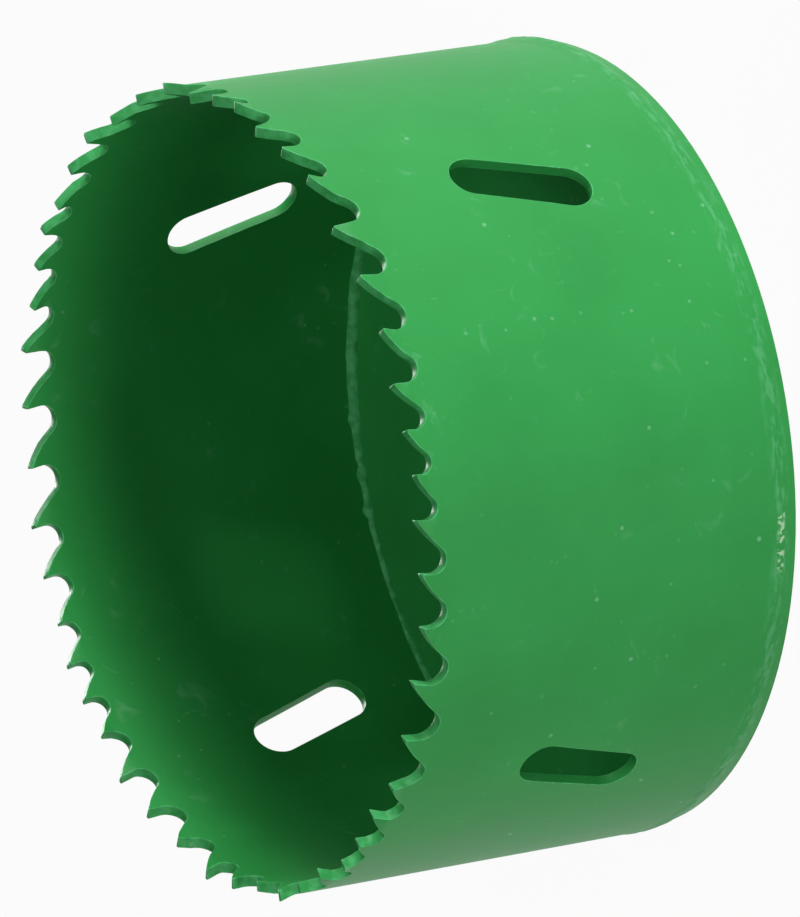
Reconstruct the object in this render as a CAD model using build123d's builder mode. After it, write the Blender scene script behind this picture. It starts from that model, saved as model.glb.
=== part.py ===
# Hole saw: a toothed steel band rolled into a ring and welded round a flat base plate.
# Millimetres. The saw stands on its base plate with the teeth up, +Z along its axis.
# The origin is the centre of the base plate's outer face.
# Seen from the base side the saw cuts clockwise, so the teeth point towards rising angles.

import os
from math import asin, atan2, cos, degrees, hypot, radians, sin, tan

from build123d import *

os.makedirs("parts", exist_ok=True)

# Band
wall_diameter = 78.4
wall_thickness = 1.1
saw_height = 41.15

# Base plate: a flange under the band's edge and a shoulder that fits inside the band.
# The flange's rim stands back from the band and is bevelled for the outer weld.
flange_inset = 0.35
flange_bevel = 0.35
flange_thickness = 2.0
shoulder_height = 1.75
shoulder_clearance = 0.05

# Arbor hole, tapped 5/8-18: bored to the thread's inner diameter
arbor_hole_diameter = 14.5
arbor_hole_chamfer = 0.6

# Drive pin holes round the arbor hole
drive_pin_count = 4
drive_pin_circle_diameter = 25.4
drive_pin_hole_diameter = 6.8
drive_pin_first_angle = 45.0

# Inner weld; the outer one fills the flange's bevel out to the band
inner_weld_leg = 0.65
inner_weld_crown = 0.1

# Teeth: nine pitches, in degrees, that repeat round the band.
# The band is cut to length inside a run, so its butt seam closes on what is left.
pitch_run = (8.6, 9.0, 8.8, 7.55, 7.45, 6.25, 6.2, 6.65, 7.5)
pitches_after_seam = 2
tooth_count = 48
first_tooth_angle = 206.5
rake_angle = 7.0
tip_land = 0.35
deepest_gullet = 3.25
gullet_growth = 0.69
gullet_radius_share = 0.26
back_bow = 9.0

# Set: every third tooth stays straight, the next leans in and the one after leans out
tooth_set = 0.45
set_bend_depth = 1.6
set_order = (0, -1, 1)
blank_gap = 0.1

# Clearing slots: four, punched at a slant through the band, the second one lower than the rest
slot_angles = (45.2, 128.1, 217.7, 308.8)
slot_height_offsets = (0.0, -1.5, 0.0, 0.0)
slot_length = 14.2
slot_width = 4.7
slot_slant = 18.0
slot_centre_height = 20.05

# How far cutting solids reach past the faces they cut
cut_margin = 0.5

# Sizes that follow
wall_radius = wall_diameter / 2
inner_radius = wall_radius - wall_thickness
flange_radius = wall_radius - flange_inset
flange_top_radius = flange_radius - flange_bevel
shoulder_radius = inner_radius - shoulder_clearance
plate_thickness = flange_thickness + shoulder_height
bend_height = saw_height - set_bend_depth
widest_pitch = wall_radius * radians(max(pitch_run))


def pitch_steps():
    """Angles between neighbouring teeth, from the first tooth after the seam round to it again."""
    first = len(pitch_run) - pitches_after_seam
    steps = [pitch_run[(first + index) % len(pitch_run)] for index in range(tooth_count - 1)]
    steps.append(360.0 - sum(steps))
    return steps


def radial_plane(angle, radius, height):
    """Plane square to the radius at this angle: local x runs round the saw, local y is up."""
    turn = radians(angle)
    outward = Vector(cos(turn), sin(turn), 0)
    along = Vector(-sin(turn), cos(turn), 0)
    origin = outward * radius + Vector(0, 0, height)
    return Plane(origin=origin, x_dir=along, z_dir=outward)


def gullet_shape(step):
    """Points of the gap between two teeth, from the first tip to the land of the next.

    The back leaves the gullet's arc steeper by back_bow than a straight one would.
    """
    pitch = wall_radius * radians(step)
    half = wall_radius * sin(radians(step / 2))
    depth = deepest_gullet - gullet_growth * (widest_pitch - pitch)
    radius = gullet_radius_share * pitch
    rake = radians(rake_angle)
    centre_y = radius - depth
    rake_end_y = centre_y + radius * sin(rake)
    rake_end_x = rake_end_y * tan(rake) - half
    centre_x = rake_end_x + radius * cos(rake)
    land_x = half - tip_land
    reach = hypot(land_x - centre_x, centre_y)
    straight_back = atan2(-centre_y, land_x - centre_x) + asin(radius / reach)
    slope = straight_back + radians(back_bow)
    return {
        "tip": (-half, 0),
        "rake_end": (rake_end_x, rake_end_y),
        "floor": (centre_x, centre_y - radius),
        "back_start": (centre_x + radius * sin(slope), centre_y - radius * cos(slope)),
        "back_direction": (cos(slope), sin(slope)),
        "land": (land_x, 0),
    }


steps = pitch_steps()
tooth_angles = [first_tooth_angle + sum(steps[:index]) for index in range(tooth_count)]


def gullet_floor_angle(index):
    """Angle of the lowest point of the gap behind the tooth of this index."""
    step = steps[index % tooth_count]
    middle = tooth_angles[index % tooth_count] + step / 2
    return middle + degrees(gullet_shape(step)["floor"][0] / wall_radius)


def tooth_blanks(lean, first_index):
    """Every third tooth as an uncut block above the bend, leaning by the set."""
    gap_angle = degrees(blank_gap / wall_radius)
    with BuildPart() as blanks:
        with BuildSketch(Plane.XZ):
            with BuildLine():
                Polyline(
                    (inner_radius, bend_height),
                    (wall_radius, bend_height),
                    (wall_radius + lean, saw_height),
                    (inner_radius + lean, saw_height),
                    close=True,
                )
            make_face()
        revolve(axis=Axis.Z)
        with BuildSketch(Plane.XY.offset(bend_height)):
            for index in range(first_index, tooth_count, len(set_order)):
                start = gullet_floor_angle(index - 1)
                end = gullet_floor_angle(index)
                if end < start:
                    end += 360.0
                with BuildLine():
                    corners = []
                    for angle, radius in (
                        (start + gap_angle, inner_radius - tooth_set - cut_margin),
                        (start + gap_angle, wall_radius + tooth_set + cut_margin),
                        (end - gap_angle, wall_radius + tooth_set + cut_margin),
                        (end - gap_angle, inner_radius - tooth_set - cut_margin),
                    ):
                        corners.append((radius * cos(radians(angle)), radius * sin(radians(angle))))
                    Polyline(*corners, close=True)
                make_face()
        extrude(amount=set_bend_depth, mode=Mode.INTERSECT)
    return blanks.part


blank_groups = [
    tooth_blanks(order * tooth_set, first_index) for first_index, order in enumerate(set_order)
]

# Saw wall: band, teeth and slots in one piece
with BuildPart() as saw_wall:
    with BuildSketch(Plane.XZ):
        with BuildLine():
            Polyline(
                (inner_radius, flange_thickness),
                (wall_radius, flange_thickness),
                (wall_radius, bend_height),
                (inner_radius, bend_height),
                close=True,
            )
        make_face()
    revolve(axis=Axis.Z)
    for group in blank_groups:
        add(group)

    # Gullets
    cut_radius = inner_radius - tooth_set - cut_margin
    cut_length = wall_thickness + 2 * (tooth_set + cut_margin)
    for tooth_angle, step in zip(tooth_angles, steps):
        shape = gullet_shape(step)
        above_tip = (shape["tip"][0], cut_margin)
        above_land = (shape["land"][0], cut_margin)
        with BuildSketch(radial_plane(tooth_angle + step / 2, cut_radius, saw_height)):
            with BuildLine():
                Line(above_land, above_tip)
                Line(above_tip, shape["tip"])
                Line(shape["tip"], shape["rake_end"])
                ThreePointArc(shape["rake_end"], shape["floor"], shape["back_start"])
                TangentArc(shape["back_start"], shape["land"], tangent=shape["back_direction"])
                Line(shape["land"], above_land)
            make_face()
    extrude(amount=cut_length, mode=Mode.SUBTRACT)

    # Clearing slots
    for slot_angle, height_offset in zip(slot_angles, slot_height_offsets):
        slot_height = slot_centre_height + height_offset
        with BuildSketch(radial_plane(slot_angle, inner_radius - cut_margin, slot_height)):
            SlotOverall(slot_length, slot_width, rotation=90 - slot_slant)
    extrude(amount=wall_thickness + 2 * cut_margin, mode=Mode.SUBTRACT)
saw_wall.part.label = "saw_wall"
export_step(saw_wall.part, "parts/saw_wall.step")

# Base plate: bevelled flange and shoulder, arbor hole and drive pin holes
with BuildPart() as base_plate:
    with BuildSketch(Plane.XZ):
        with BuildLine():
            Polyline(
                (0, 0),
                (flange_radius, 0),
                (flange_top_radius, flange_thickness),
                (shoulder_radius, flange_thickness),
                (shoulder_radius, plate_thickness),
                (0, plate_thickness),
                close=True,
            )
        make_face()
    revolve(axis=Axis.Z)
    with BuildSketch(Plane.XY):
        Circle(arbor_hole_diameter / 2)
    extrude(amount=plate_thickness, mode=Mode.SUBTRACT)
    chamfer(
        base_plate.edges().filter_by(GeomType.CIRCLE).sort_by(SortBy.RADIUS)[:2],
        length=arbor_hole_chamfer,
    )
    with BuildSketch(Plane.XY):
        with PolarLocations(drive_pin_circle_diameter / 2, drive_pin_count, drive_pin_first_angle):
            Circle(drive_pin_hole_diameter / 2)
    extrude(amount=plate_thickness, mode=Mode.SUBTRACT)
base_plate.part.label = "base_plate"
export_step(base_plate.part, "parts/base_plate.step")

# Inner weld: a fillet bead in the corner between the plate's inner face and the band
with BuildPart() as inner_weld:
    corner = (inner_radius, plate_thickness)
    toe_on_plate = (inner_radius - inner_weld_leg, plate_thickness)
    toe_on_wall = (inner_radius, plate_thickness + inner_weld_leg)
    crown_offset = inner_weld_leg / 2 + inner_weld_crown / 2**0.5
    crown = (inner_radius - crown_offset, plate_thickness + crown_offset)
    with BuildSketch(Plane.XZ):
        with BuildLine():
            Polyline(corner, toe_on_plate, crown, toe_on_wall, close=True)
        make_face()
    revolve(axis=Axis.Z)
inner_weld.part.label = "inner_weld"
export_step(inner_weld.part, "parts/inner_weld.step")

# Outer weld: fills the bevel under the band's edge, from the band down to the flange's foot
with BuildPart() as outer_weld:
    root = (flange_top_radius, flange_thickness)
    toe_on_flange = (flange_radius, 0)
    toe_on_band = (wall_radius, flange_thickness)
    with BuildSketch(Plane.XZ):
        with BuildLine():
            Polyline(root, toe_on_flange, toe_on_band, close=True)
        make_face()
    revolve(axis=Axis.Z)
outer_weld.part.label = "outer_weld"
export_step(outer_weld.part, "parts/outer_weld.step")
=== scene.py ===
import bpy
from math import atan2, cos, degrees, exp, hypot, pi, radians, sin
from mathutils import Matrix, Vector, noise


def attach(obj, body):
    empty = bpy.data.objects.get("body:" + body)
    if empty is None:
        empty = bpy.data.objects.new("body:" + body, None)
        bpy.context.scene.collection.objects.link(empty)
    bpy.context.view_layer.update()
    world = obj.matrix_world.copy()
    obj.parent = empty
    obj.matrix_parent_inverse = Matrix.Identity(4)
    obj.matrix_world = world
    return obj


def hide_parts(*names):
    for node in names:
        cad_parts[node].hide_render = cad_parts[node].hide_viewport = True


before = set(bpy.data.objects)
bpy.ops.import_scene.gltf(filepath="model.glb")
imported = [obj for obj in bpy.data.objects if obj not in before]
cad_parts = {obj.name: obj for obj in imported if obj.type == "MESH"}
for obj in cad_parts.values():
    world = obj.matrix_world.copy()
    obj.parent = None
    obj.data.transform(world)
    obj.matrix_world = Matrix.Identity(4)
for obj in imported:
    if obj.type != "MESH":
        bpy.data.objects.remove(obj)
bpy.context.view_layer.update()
scene = bpy.context.scene
mm = 0.001
mergeGap = 0.002 * mm
print("frame loaded")


# small helpers

def deselectAll():
    for item in list(bpy.context.selected_objects):
        item.select_set(False)


def makeActive(piece):
    deselectAll()
    piece.select_set(True)
    bpy.context.view_layer.objects.active = piece


def openMesh(piece):
    makeActive(piece)
    bpy.ops.object.mode_set(mode="EDIT")
    bpy.ops.mesh.select_all(action="SELECT")


def closeMesh():
    bpy.ops.object.mode_set(mode="OBJECT")


def applyModifier(piece, modifier):
    makeActive(piece)
    bpy.ops.object.modifier_apply(modifier=modifier.name)


def reachOf(nodeName):
    # how near the axis, how far out, how low and how high a CAD node goes
    points = [vertex.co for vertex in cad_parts[nodeName].data.vertices]
    radii = [hypot(point.x, point.y) for point in points]
    heights = [point.z for point in points]
    return {"inner": min(radii), "outer": max(radii), "low": min(heights), "high": max(heights)}


def copyOfNode(nodeName, pieceName, flatAngle=0.3):
    # the frame's mesh is loose triangles, so the copy is merged and its flat faces are joined
    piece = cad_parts[nodeName].copy()
    piece.data = piece.data.copy()
    piece.parent = None
    piece.name = pieceName
    piece.data.name = pieceName
    for key in list(piece.keys()):
        del piece[key]
    scene.collection.objects.link(piece)
    piece.data.materials.clear()
    if piece.data.has_custom_normals:
        makeActive(piece)
        bpy.ops.mesh.customdata_custom_splitnormals_clear()
    openMesh(piece)
    bpy.ops.mesh.remove_doubles(threshold=mergeGap)
    bpy.ops.mesh.dissolve_limited(angle_limit=radians(flatAngle))
    closeMesh()
    return piece


def easeEdges(piece, look, materialIndex):
    ease = piece.modifiers.new("easedEdges", "BEVEL")
    ease.width = look["edgeWidth"]
    ease.segments = look["edgeSteps"]
    ease.limit_method = "ANGLE"
    ease.angle_limit = radians(look["edgeAngle"])
    ease.use_clamp_overlap = False
    ease.material = materialIndex
    applyModifier(piece, ease)


def smoothByAngle(piece, look):
    makeActive(piece)
    bpy.ops.object.shade_smooth_by_angle(angle=radians(look["smoothAngle"]))


def evenShading(piece):
    even = piece.modifiers.new("evenShading", "WEIGHTED_NORMAL")
    even.keep_sharp = True
    applyModifier(piece, even)


def handOver(piece, nodeName):
    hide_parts(nodeName)
    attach(piece, "root")


wallReach = reachOf("saw_wall")
plateReach = reachOf("base_plate")
innerReach = reachOf("inner_weld")
outerReach = reachOf("outer_weld")

# enamel: each spread is where a pattern starts and where it is full

enamelLook = {
    "ior": 1.45,
    "specular": 0.3,
    "deep": (0.028, 0.330, 0.066, 1),
    "full": (0.034, 0.374, 0.079, 1),
    "speck": (0.16, 0.52, 0.24, 1),
    # paler tone: partly a thin coat, partly painted highlight and painted light on edges, cut faces and
    # the bead
    "wornAndHighlight": (0.13, 0.66, 0.25, 1),
    "roughness": (0.42, 0.54),
    "cloudScale": 70,
    "cloudSpread": (0.35, 0.65),
    "speckScale": 330,
    "speckSpread": (0.05, 0.10),
    "speckRarity": 0.90,
    "dustScale": 800,
    "dustSpread": (0.10, 0.20),
    "dustRarity": (0.86, 0.94),
    "patchSpread": (0.46, 0.60),
    "patchShare": (0.15, 0.9),
    "smudgeScale": 380,
    "smudgeBend": 0.8,
    "smudgeSpread": (0.62, 0.74),
    "smudgeShare": 0.5,
    # noise and fade of the paler tone, which is partly thin coat and partly painted highlight
    "wornAndHighlightScale": 900,
    "wornAndHighlightSpread": (0.40, 0.60),
    "wornAndHighlightLeast": 0.3,
    "peelScale": 1500,
    "peelHeight": 0.006 * mm,
    "peelStrength": 0.6,
}
rimLook = {
    "height": outerReach["high"] - 0.1 * mm,
    "streak": (0.11, 0.48, 0.19, 1),
    "streakHalf": (0.35 * mm, 1.3 * mm),
    "streakScale": 650,
    "streakStretch": (1, 1, 3),
    "streakSpread": (0.47, 0.62),
    "streakShare": 0.7,
    "chip": (0.50, 0.76, 0.48, 1),
    "chipAngle": -109,
    "chipReach": (2.6 * mm, 3.4 * mm),
    "chipHalf": (0.25 * mm, 0.50 * mm),
    "chipScale": 1500,
    "chipSpread": (0.45, 0.60),
    "tornScale": 3000,
    "tornSpread": (0.46, 0.52),
}


def addNode(tree, kind, x, y, **values):
    node = tree.nodes.new(kind)
    node.location = (x, y)
    for key, value in values.items():
        setattr(node, key, value)
    return node


def noiseNode(tree, x, y, place, scale, detail=2, bend=0.0):
    cloudy = addNode(tree, "ShaderNodeTexNoise", x, y)
    cloudy.inputs["Scale"].default_value = scale
    cloudy.inputs["Detail"].default_value = detail
    cloudy.inputs["Distortion"].default_value = bend
    tree.links.new(place, cloudy.inputs["Vector"])
    return cloudy.outputs["Fac"]


def cellNode(tree, x, y, place, scale):
    cells = addNode(tree, "ShaderNodeTexVoronoi", x, y)
    cells.inputs["Scale"].default_value = scale
    tree.links.new(place, cells.inputs["Vector"])
    return cells


def fadeNode(tree, x, y, source, near, far, start=1.0, end=0.0):
    # goes from start to end while the source goes from near to far
    fade = addNode(tree, "ShaderNodeMapRange", x, y)
    fade.inputs["From Min"].default_value = near
    fade.inputs["From Max"].default_value = far
    fade.inputs["To Min"].default_value = start
    fade.inputs["To Max"].default_value = end
    tree.links.new(source, fade.inputs["Value"])
    return fade.outputs["Result"]


def mathNode(tree, x, y, operation, first, second=None):
    # each value is a socket or a plain number
    sums = addNode(tree, "ShaderNodeMath", x, y, operation=operation)
    for socket, value in zip(sums.inputs, (first, second)):
        if isinstance(value, bpy.types.NodeSocket):
            tree.links.new(value, socket)
        elif value is not None:
            socket.default_value = value
    return sums.outputs["Value"]


def tintNode(tree, x, y, amount, colour, tint):
    mix = addNode(tree, "ShaderNodeMix", x, y, data_type="RGBA")
    mix.inputs["B"].default_value = tint
    tree.links.new(amount, mix.inputs["Factor"])
    tree.links.new(colour, mix.inputs["A"])
    return mix.outputs["Result"]


def rimColour(tree, place, colour, rim):
    # lighter streaks along the seam between the band and the flange
    part = addNode(tree, "ShaderNodeSeparateXYZ", -1200, 900)
    tree.links.new(place, part.inputs["Vector"])
    above = mathNode(tree, -1000, 900, "SUBTRACT", part.outputs["Z"], rim["height"])
    away = mathNode(tree, -800, 900, "ABSOLUTE", above)
    flat = addNode(tree, "ShaderNodeMapping", -1200, 650)
    flat.inputs["Scale"].default_value = rim["streakStretch"]
    tree.links.new(place, flat.inputs["Vector"])
    weave = noiseNode(tree, -1000, 650, flat.outputs["Vector"], rim["streakScale"], 5)
    streaky = fadeNode(tree, -800, 650, weave, *rim["streakSpread"], 0.0, rim["streakShare"])
    inBand = fadeNode(tree, -600, 900, away, *rim["streakHalf"])
    streak = mathNode(tree, -400, 800, "MULTIPLY", streaky, inBand)
    colour = tintNode(tree, 200, 500, streak, colour, rim["streak"])

    # pale chips at one place on the seam
    chipTurn = radians(rim["chipAngle"])
    chipSpot = addNode(tree, "ShaderNodeVectorMath", -1000, 1200, operation="DISTANCE")
    chipSpot.inputs[1].default_value = (
        wallReach["outer"] * cos(chipTurn), wallReach["outer"] * sin(chipTurn), rim["height"]
    )
    tree.links.new(place, chipSpot.inputs[0])
    nearSpot = fadeNode(tree, -800, 1200, chipSpot.outputs["Value"], *rim["chipReach"])
    flake = cellNode(tree, -1000, 1450, place, rim["chipScale"])
    flakeEdge = fadeNode(tree, -800, 1450, flake.outputs["Distance"], *rim["chipSpread"])
    torn = noiseNode(tree, -1000, 1750, place, rim["tornScale"])
    tornEdge = fadeNode(tree, -800, 1750, torn, *rim["tornSpread"], 0.0, 1.0)
    flaked = mathNode(tree, -600, 1450, "MULTIPLY", flakeEdge, tornEdge)
    flakedHere = mathNode(tree, -400, 1200, "MULTIPLY", flaked, nearSpot)
    onSeam = fadeNode(tree, -600, 1100, away, *rim["chipHalf"])
    chip = mathNode(tree, -200, 1200, "MULTIPLY", flakedHere, onSeam)
    return tintNode(tree, 400, 500, chip, colour, rim["chip"])


def enamelMaterial(name, look, lighter=0.0, rim=None):
    material = bpy.data.materials.new(name)
    material.use_nodes = True
    tree = material.node_tree
    shader = tree.nodes["Principled BSDF"]
    shader.inputs["IOR"].default_value = look["ior"]
    shader.inputs["Specular IOR Level"].default_value = look["specular"]
    place = addNode(tree, "ShaderNodeTexCoord", -1500, 0).outputs["Object"]

    # broad uneven coat
    cloud = noiseNode(tree, -1200, 200, place, look["cloudScale"], 5)
    coat = addNode(tree, "ShaderNodeValToRGB", -950, 200)
    ends = coat.color_ramp.elements
    for end, position, tone in zip(ends, look["cloudSpread"], (look["deep"], look["full"])):
        end.position = position
        end.color = tone
    tree.links.new(cloud, coat.inputs["Fac"])

    # dust specks under the coat
    grit = cellNode(tree, -1200, -100, place, look["speckScale"])
    dot = fadeNode(tree, -950, -100, grit.outputs["Distance"], *look["speckSpread"])
    pick = addNode(tree, "ShaderNodeSeparateColor", -950, -350)
    tree.links.new(grit.outputs["Color"], pick.inputs["Color"])
    rare = mathNode(tree, -750, -350, "GREATER_THAN", pick.outputs["Red"], look["speckRarity"])
    speck = mathNode(tree, -550, -200, "MULTIPLY", dot, rare)
    colour = tintNode(tree, -350, 150, speck, coat.outputs["Color"], look["speck"])

    # finer dust, gathered in patches
    dust = cellNode(tree, -1200, -1000, place, look["dustScale"])
    grain = fadeNode(tree, -950, -1000, dust.outputs["Distance"], *look["dustSpread"])
    dustPick = addNode(tree, "ShaderNodeSeparateColor", -950, -1250)
    tree.links.new(dust.outputs["Color"], dustPick.inputs["Color"])
    kept = fadeNode(tree, -750, -1250, dustPick.outputs["Green"], *look["dustRarity"], 0.0, 1.0)
    patches = fadeNode(tree, -750, -1450, cloud, *look["patchSpread"], *look["patchShare"])
    grains = mathNode(tree, -550, -1000, "MULTIPLY", grain, kept)
    dusty = mathNode(tree, -350, -1000, "MULTIPLY", grains, patches)
    colour = tintNode(tree, -200, 150, dusty, colour, look["speck"])

    # short pale smears in the same patches
    smudge = noiseNode(tree, -1200, -1700, place, look["smudgeScale"], 5, look["smudgeBend"])
    smudged = fadeNode(tree, -950, -1700, smudge, *look["smudgeSpread"], 0.0, look["smudgeShare"])
    smeared = mathNode(tree, -350, -1400, "MULTIPLY", smudged, patches)
    colour = tintNode(tree, -100, 150, smeared, colour, look["speck"])

    if lighter:
        # paler coat over an edge, a cut face or the inner bead: partly a thin coat, partly painted
        # highlight and painted light
        paleNoise = noiseNode(tree, -350, 450, place, look["wornAndHighlightScale"])
        least = look["wornAndHighlightLeast"] * lighter
        amount = fadeNode(tree, -150, 450, paleNoise, *look["wornAndHighlightSpread"], least, lighter)
        colour = tintNode(tree, 0, 300, amount, colour, look["wornAndHighlight"])
    if rim:
        colour = rimColour(tree, place, colour, rim)
    tree.links.new(colour, shader.inputs["Base Color"])

    # satin sheen that changes a little over the surface
    sheen = fadeNode(tree, -550, -500, cloud, 0.0, 1.0, *look["roughness"])
    tree.links.new(sheen, shader.inputs["Roughness"])

    # orange peel, with the specks standing up
    peel = noiseNode(tree, -1200, -650, place, look["peelScale"])
    bump = addNode(tree, "ShaderNodeBump", -150, -650)
    bump.inputs["Strength"].default_value = look["peelStrength"]
    bump.inputs["Distance"].default_value = look["peelHeight"]
    tree.links.new(mathNode(tree, -350, -650, "ADD", peel, speck), bump.inputs["Height"])
    tree.links.new(bump.outputs["Normal"], shader.inputs["Normal"])
    return material


coatedSteel = enamelMaterial("coatedSteel", enamelLook, rim=rimLook)
# bevelled edges: paler coat, partly worn thin and partly a painted highlight along the edges
wornAndHighlitEdge = enamelMaterial("wornAndHighlitEdge", enamelLook, lighter=0.9)
# cut faces of the teeth: paler coat, partly thin and partly painted light
cutFace = enamelMaterial("cutFace", enamelLook, lighter=0.45)
plateCoat = enamelMaterial("plateCoat", enamelLook)
rimCoat = enamelMaterial("rimCoat", enamelLook, rim=rimLook)
# inner bead: paler spots along it, partly uneven coat and partly painted highlight
beadCoat = enamelMaterial("beadCoat", enamelLook, lighter=0.8)
print("materials made")

# saw wall: band, teeth and slots, with their edges eased by the coat

sawWallLook = {
    "edgeWidth": 0.07 * mm,
    "edgeSteps": 2,
    "edgeAngle": 32,
    "smoothAngle": 40,
    "toothDepth": 3.6 * mm,
    "cutFaceTilt": 0.5,
}

sawWall = copyOfNode("saw_wall", "sawWall")
wallCoats = [coatedSteel, wornAndHighlitEdge, cutFace]
for coat in wallCoats:
    sawWall.data.materials.append(coat)
for face in sawWall.data.polygons:
    # the cut faces of the teeth get a paler coat: partly a thinner coat, partly painted light that
    # brightens them
    middle = face.center
    outward = Vector((middle.x, middle.y, 0)).normalized()
    inTeeth = middle.z > wallReach["high"] - sawWallLook["toothDepth"]
    if inTeeth and abs(face.normal.dot(outward)) < sawWallLook["cutFaceTilt"]:
        face.material_index = wallCoats.index(cutFace)
# the eased edges take the paler coat with its painted highlight
easeEdges(sawWall, sawWallLook, wallCoats.index(wornAndHighlitEdge))
smoothByAngle(sawWall, sawWallLook)
evenShading(sawWall)
handOver(sawWall, "saw_wall")
print("saw wall:", len(sawWall.data.polygons), "faces")

# base plate: flange, shoulder and holes, with the arbor thread cut in

basePlateLook = {"edgeWidth": 0.12 * mm, "edgeSteps": 3, "edgeAngle": 60, "smoothAngle": 32}
threadLook = {
    "depth": 0.6875 * mm,
    "pitch": 25.4 / 18 * mm,
    "halfFoot": 0.45,
    "halfRoot": 0.0625,
    "turns": 5,
    "start": -1.7 * mm,
    "steps": 72,
    "overlap": 0.1 * mm,
    "mergeGap": 0.001 * mm,
}

basePlate = copyOfNode("base_plate", "basePlate")
easeEdges(basePlate, basePlateLook, -1)
deselectAll()
bpy.ops.mesh.primitive_plane_add(size=1, location=(0, 0, 0))
threadCutter = bpy.context.active_object
threadCutter.name = "threadCutter"
halfFoot = threadLook["halfFoot"] * threadLook["pitch"]
halfRoot = threadLook["halfRoot"] * threadLook["pitch"]
threadFoot = plateReach["inner"] - threadLook["overlap"]
threadRoot = plateReach["inner"] + threadLook["depth"]
threadProfile = [
    (threadFoot, -halfFoot),
    (threadRoot, -halfRoot),
    (threadRoot, halfRoot),
    (threadFoot, halfFoot),
]
ring = sorted(threadCutter.data.vertices, key=lambda v: atan2(v.co.y, v.co.x))
for vertex, (radius, height) in zip(ring, threadProfile):
    vertex.co = (radius, 0, height + threadLook["start"])
openMesh(threadCutter)
bpy.ops.mesh.delete(type="ONLY_FACE")
closeMesh()
helix = threadCutter.modifiers.new("helix", "SCREW")
helix.axis = "Z"
helix.angle = 2 * pi
helix.screw_offset = threadLook["pitch"]
helix.iterations = threadLook["turns"]
helix.steps = threadLook["steps"]
helix.render_steps = threadLook["steps"]
applyModifier(threadCutter, helix)
# both ends of the helix are closed before it cuts
openMesh(threadCutter)
bpy.ops.mesh.remove_doubles(threshold=threadLook["mergeGap"])
bpy.ops.mesh.select_all(action="DESELECT")
bpy.ops.mesh.select_mode(type="EDGE")
bpy.ops.mesh.select_non_manifold()
bpy.ops.mesh.edge_face_add()
bpy.ops.mesh.select_all(action="SELECT")
bpy.ops.mesh.normals_make_consistent(inside=False)
closeMesh()
cutThread = basePlate.modifiers.new("thread", "BOOLEAN")
cutThread.operation = "DIFFERENCE"
cutThread.solver = "EXACT"
cutThread.object = threadCutter
applyModifier(basePlate, cutThread)
bpy.data.objects.remove(threadCutter)
# the cut leaves slivers, which would keep the mesh from closing
openMesh(basePlate)
bpy.ops.mesh.remove_doubles(threshold=mergeGap)
bpy.ops.mesh.dissolve_degenerate(threshold=mergeGap)
closeMesh()
basePlate.data.materials.clear()
basePlate.data.materials.append(plateCoat)
smoothByAngle(basePlate, basePlateLook)
evenShading(basePlate)
handOver(basePlate, "base_plate")
print("base plate:", len(basePlate.data.polygons), "faces")

# welds: uneven beads, laid round by a spin and then roughened

innerBeadLook = {
    "size": 0.66 * mm,
    "steps": 720,
    "sides": 16,
    "smoothAngle": 60,
    "swell": 0.20,
    "swellCount": 9,
    "ripple": 0.14,
    "rippleScale": 0.9 * mm,
    # angle, growth and half width in degrees of each thick, thin or blobby place
    "lumps": (
        (68, 0.25, 14), (112, -0.42, 18),
        (82, 0.40, 0.9), (89.3, -0.35, 0.5), (90.8, 0.40, 0.8), (96.3, 0.55, 0.8),
    ),
}
outerBeadLook = {
    "steps": 900,
    "smoothAngle": 50,
    # points of the section in mm: out from the flange's edge and up from the base face,
    # then out from the ridge and from the band, both up from the seam
    "footPoints": (
        (-0.30, 0.20), (-0.01, 0.20), (0.03, 0.32), (0.09, 0.60),
        (0.16, 0.90), (0.23, 1.20), (0.30, 1.50),
    ),
    "ridgePoints": ((-0.02, -0.22), (0, 0.05), (-0.01, 0.30), (-0.03, 0.60)),
    "bandPoints": ((-0.01, 0.95), (-0.03, 1.40), (-0.06, 1.90), (-0.40, 1.90)),
    "ridge": 0.05 * mm,
    "seamHalf": 0.75 * mm,
    "lump": 0.09 * mm,
    "lumpScale": 1.1 * mm,
    "bulge": 0.25 * mm,
    "bulgeAngle": -6,
    "bulgeWidth": 13,
    "bulgeHeight": 1.8 * mm,
}


def spinRound(piece, steps):
    openMesh(piece)
    bpy.ops.mesh.spin(steps=steps, angle=2 * pi, center=(0, 0, 0), axis=(0, 0, 1))
    bpy.ops.mesh.select_all(action="SELECT")
    bpy.ops.mesh.remove_doubles(threshold=mergeGap)
    bpy.ops.mesh.normals_make_consistent(inside=False)
    closeMesh()


def profileRing(name, points):
    deselectAll()
    bpy.ops.mesh.primitive_circle_add(vertices=len(points), radius=1 * mm, fill_type="NOTHING")
    piece = bpy.context.active_object
    piece.name = name
    for vertex, (radius, height) in zip(piece.data.vertices, points):
        vertex.co = (radius, 0, height)
    return piece


def hump(value, middle, half):
    # 1 at the middle, fading to both sides
    return exp(-((value - middle) / half) ** 2)


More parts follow.
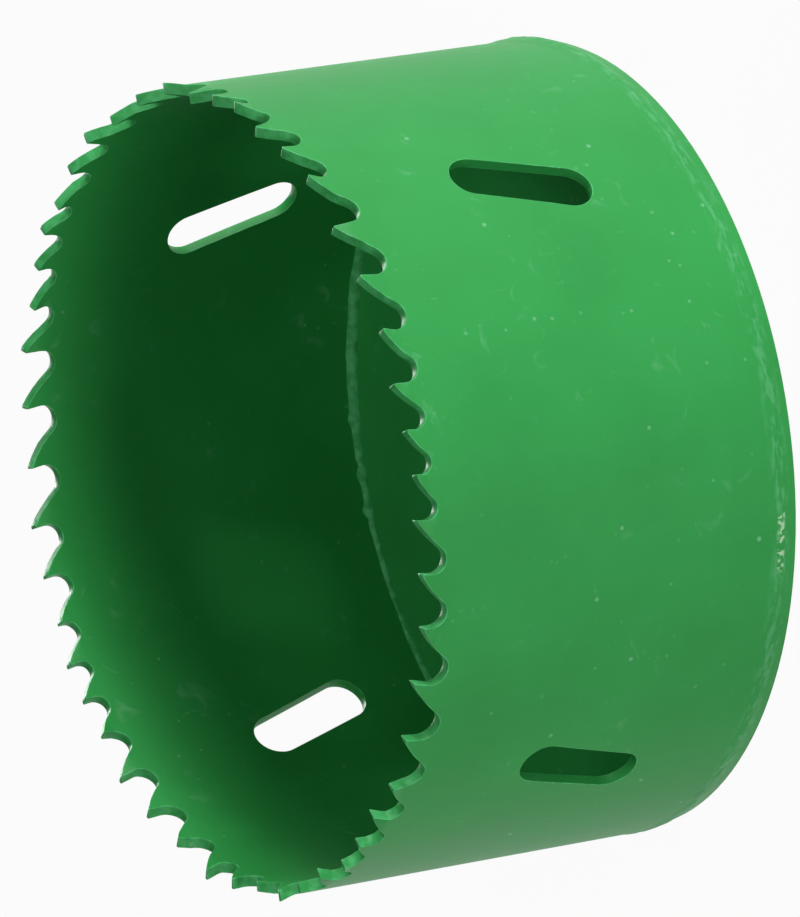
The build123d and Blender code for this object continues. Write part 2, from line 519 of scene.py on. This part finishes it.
cornerRadius = innerReach["outer"]
cornerHeight = innerReach["low"]
section = []
for index in range(innerBeadLook["sides"]):
    turn = 2 * pi * index / innerBeadLook["sides"]
    section.append((
        cornerRadius + innerBeadLook["size"] * cos(turn),
        cornerHeight + innerBeadLook["size"] * sin(turn),
    ))
innerWeld = profileRing("innerWeld", section)
spinRound(innerWeld, innerBeadLook["steps"])
for vertex in innerWeld.data.vertices:
    angle = atan2(vertex.co.y, vertex.co.x)
    radius = hypot(vertex.co.x, vertex.co.y)
    onRing = Vector((cos(angle), sin(angle), 0))
    factor = 1 + noise.noise(onRing * innerBeadLook["swellCount"]) * innerBeadLook["swell"]
    factor += noise.noise(vertex.co / innerBeadLook["rippleScale"]) * innerBeadLook["ripple"]
    for lumpAngle, lumpHeight, lumpWidth in innerBeadLook["lumps"]:
        factor += lumpHeight * hump(degrees(angle), lumpAngle, lumpWidth)
    outward = (radius - cornerRadius) * factor
    upward = (vertex.co.z - cornerHeight) * factor
    vertex.co = onRing * (cornerRadius + outward)
    vertex.co.z = cornerHeight + upward
innerWeld.data.materials.append(beadCoat)
smoothByAngle(innerWeld, innerBeadLook)
handOver(innerWeld, "inner_weld")

# the outer bead runs from the flange's foot to the band and ends in a low, lumpy ridge
bandRadius = outerReach["outer"]
footRadius = plateReach["outer"]
seamHeight = outerReach["high"]
ridgeRadius = bandRadius + outerBeadLook["ridge"]
section = [(footRadius + out * mm, up * mm) for out, up in outerBeadLook["footPoints"]]
section += [(ridgeRadius + out * mm, seamHeight + up * mm) for out, up in outerBeadLook["ridgePoints"]]
section += [(bandRadius + out * mm, seamHeight + up * mm) for out, up in outerBeadLook["bandPoints"]]
outerWeld = profileRing("outerWeld", section)
spinRound(outerWeld, outerBeadLook["steps"])
for vertex in outerWeld.data.vertices:
    angle = atan2(vertex.co.y, vertex.co.x)
    radius = hypot(vertex.co.x, vertex.co.y)
    onRing = Vector((cos(angle), sin(angle), 0))
    height = vertex.co.z
    # lumps are strongest at the seam and die out at both edges of the bead
    nearSeam = hump(height, seamHeight, outerBeadLook["seamHalf"])
    along = onRing * radius / outerBeadLook["lumpScale"]
    climb = height / outerBeadLook["lumpScale"]
    lump = noise.noise(along * 0.5 + Vector((0, 0, climb)))
    lump += 0.5 * noise.noise(along * 1.3 + Vector((7, 0, 2 * climb)))
    swollen = hump(degrees(angle), outerBeadLook["bulgeAngle"], outerBeadLook["bulgeWidth"])
    swollen *= hump(height, outerBeadLook["bulgeHeight"], outerBeadLook["bulgeHeight"])
    raised = outerBeadLook["lump"] * lump * nearSeam + outerBeadLook["bulge"] * swollen
    vertex.co = onRing * (radius + raised)
    vertex.co.z = height
outerWeld.data.materials.append(rimCoat)
smoothByAngle(outerWeld, outerBeadLook)
handOver(outerWeld, "outer_weld")
print("welds laid")

# floor, light and camera

# the floor lies a hair below the saw, so that the two faces don't fight in a view from below
floorLook = {
    "size": 6,
    "drop": 0.03 * mm,
    "colour": (0.80, 0.80, 0.80, 1),
    "roughness": 0.9,
    "specular": 0.0,
    "glow": 0.95,
}

deselectAll()
bpy.ops.mesh.primitive_plane_add(size=floorLook["size"], location=(0, 0, -floorLook["drop"]))
floor = bpy.context.active_object
floor.name = "floor"
floorMaterial = bpy.data.materials.new("paper")
floorMaterial.use_nodes = True
tree = floorMaterial.node_tree
paper = tree.nodes["Principled BSDF"]
paper.inputs["Base Color"].default_value = floorLook["colour"]
paper.inputs["Roughness"].default_value = floorLook["roughness"]
paper.inputs["Specular IOR Level"].default_value = floorLook["specular"]
white = addNode(tree, "ShaderNodeEmission", 0, -200)
rays = addNode(tree, "ShaderNodeLightPath", -600, 300)
seen = mathNode(tree, -400, 300, "MAXIMUM", rays.outputs["Is Camera Ray"], rays.outputs["Is Glossy Ray"])
through = mathNode(tree, -200, 300, "MAXIMUM", seen, rays.outputs["Is Transmission Ray"])
share = mathNode(tree, 0, 300, "MULTIPLY", through, floorLook["glow"])
blend = addNode(tree, "ShaderNodeMixShader", 200, 0)
tree.links.new(share, blend.inputs["Fac"])
tree.links.new(paper.outputs["BSDF"], blend.inputs[1])
tree.links.new(white.outputs["Emission"], blend.inputs[2])
tree.links.new(blend.outputs["Shader"], tree.nodes["Material Output"].inputs["Surface"])
floor.data.materials.append(floorMaterial)

lampAim = Vector((0, 0, 0.02))
lampLook = {
    "keyLamp": {"place": (0.80, -0.62, 0.10), "size": 0.30, "power": 4.4},
    "sideLamp": {"place": (0.90, -0.20, 0.08), "size": 0.14, "power": 3.0},
    "highLamp": {"place": (0.95, 0.10, 0.25), "size": 0.40, "power": 0.8},
    "fillLamp": {"place": (-0.20, -1.00, 0.06), "size": 0.22, "power": 2.7},
    "farLamp": {"place": (-0.90, -0.55, 0.10), "size": 0.30, "power": 1.8},
    "cupLamp": {"place": (0.10, -0.45, 0.90), "size": 0.40, "power": 1.6},
    "lowLamp": {"place": (-0.60, -0.35, 0.70), "size": 0.40, "power": 0.5},
    "backLamp": {"place": (0.25, 1.00, 0.12), "size": 0.22, "power": 4.5},
}
for lampName, look in lampLook.items():
    light = bpy.data.lights.new(lampName, "AREA")
    light.energy = look["power"]
    light.shape = "DISK"
    light.size = look["size"]
    lamp = bpy.data.objects.new(lampName, light)
    scene.collection.objects.link(lamp)
    lamp.location = look["place"]
    aim = lampAim - Vector(look["place"])
    lamp.rotation_euler = aim.to_track_quat("-Z", "Y").to_euler()

worldLook = {"colour": (1, 1, 1, 1), "strength": 0.05}
world = bpy.data.worlds.new("studio")
scene.world = world
world.use_nodes = True
sky = world.node_tree.nodes["Background"]
sky.inputs["Color"].default_value = worldLook["colour"]
sky.inputs["Strength"].default_value = worldLook["strength"]

cameraLook = {
    "aim": (0.52 * mm, 0, 20.56 * mm),
    "distance": 927.9 * mm,
    "elevation": 29.20,
    "roll": -98.99,
    "lens": 375.9,
    "sensor": 36,
    "clip": (0.01, 20),
}
camera = bpy.data.objects.new("camera", bpy.data.cameras.new("camera"))
scene.collection.objects.link(camera)
camera.data.sensor_fit = "VERTICAL"
camera.data.sensor_height = cameraLook["sensor"]
camera.data.lens = cameraLook["lens"]
camera.data.clip_start, camera.data.clip_end = cameraLook["clip"]
lift = radians(cameraLook["elevation"])
backward = Vector((0, -cos(lift), sin(lift)))
camera.location = Vector(cameraLook["aim"]) + backward * cameraLook["distance"]
# the camera is level first and then rolled about its own line of sight
rolled = (-backward).to_track_quat("-Z", "Y").to_matrix()
rightWay = rolled.col[0].copy()
upWay = rolled.col[1].copy()
turn = radians(cameraLook["roll"])
rolled.col[0] = rightWay * cos(turn) + upWay * sin(turn)
rolled.col[1] = upWay * cos(turn) - rightWay * sin(turn)
camera.rotation_mode = "XYZ"
camera.rotation_euler = rolled.to_euler()
scene.camera = camera
scene.view_settings.view_transform = "Standard"
print("stage set")
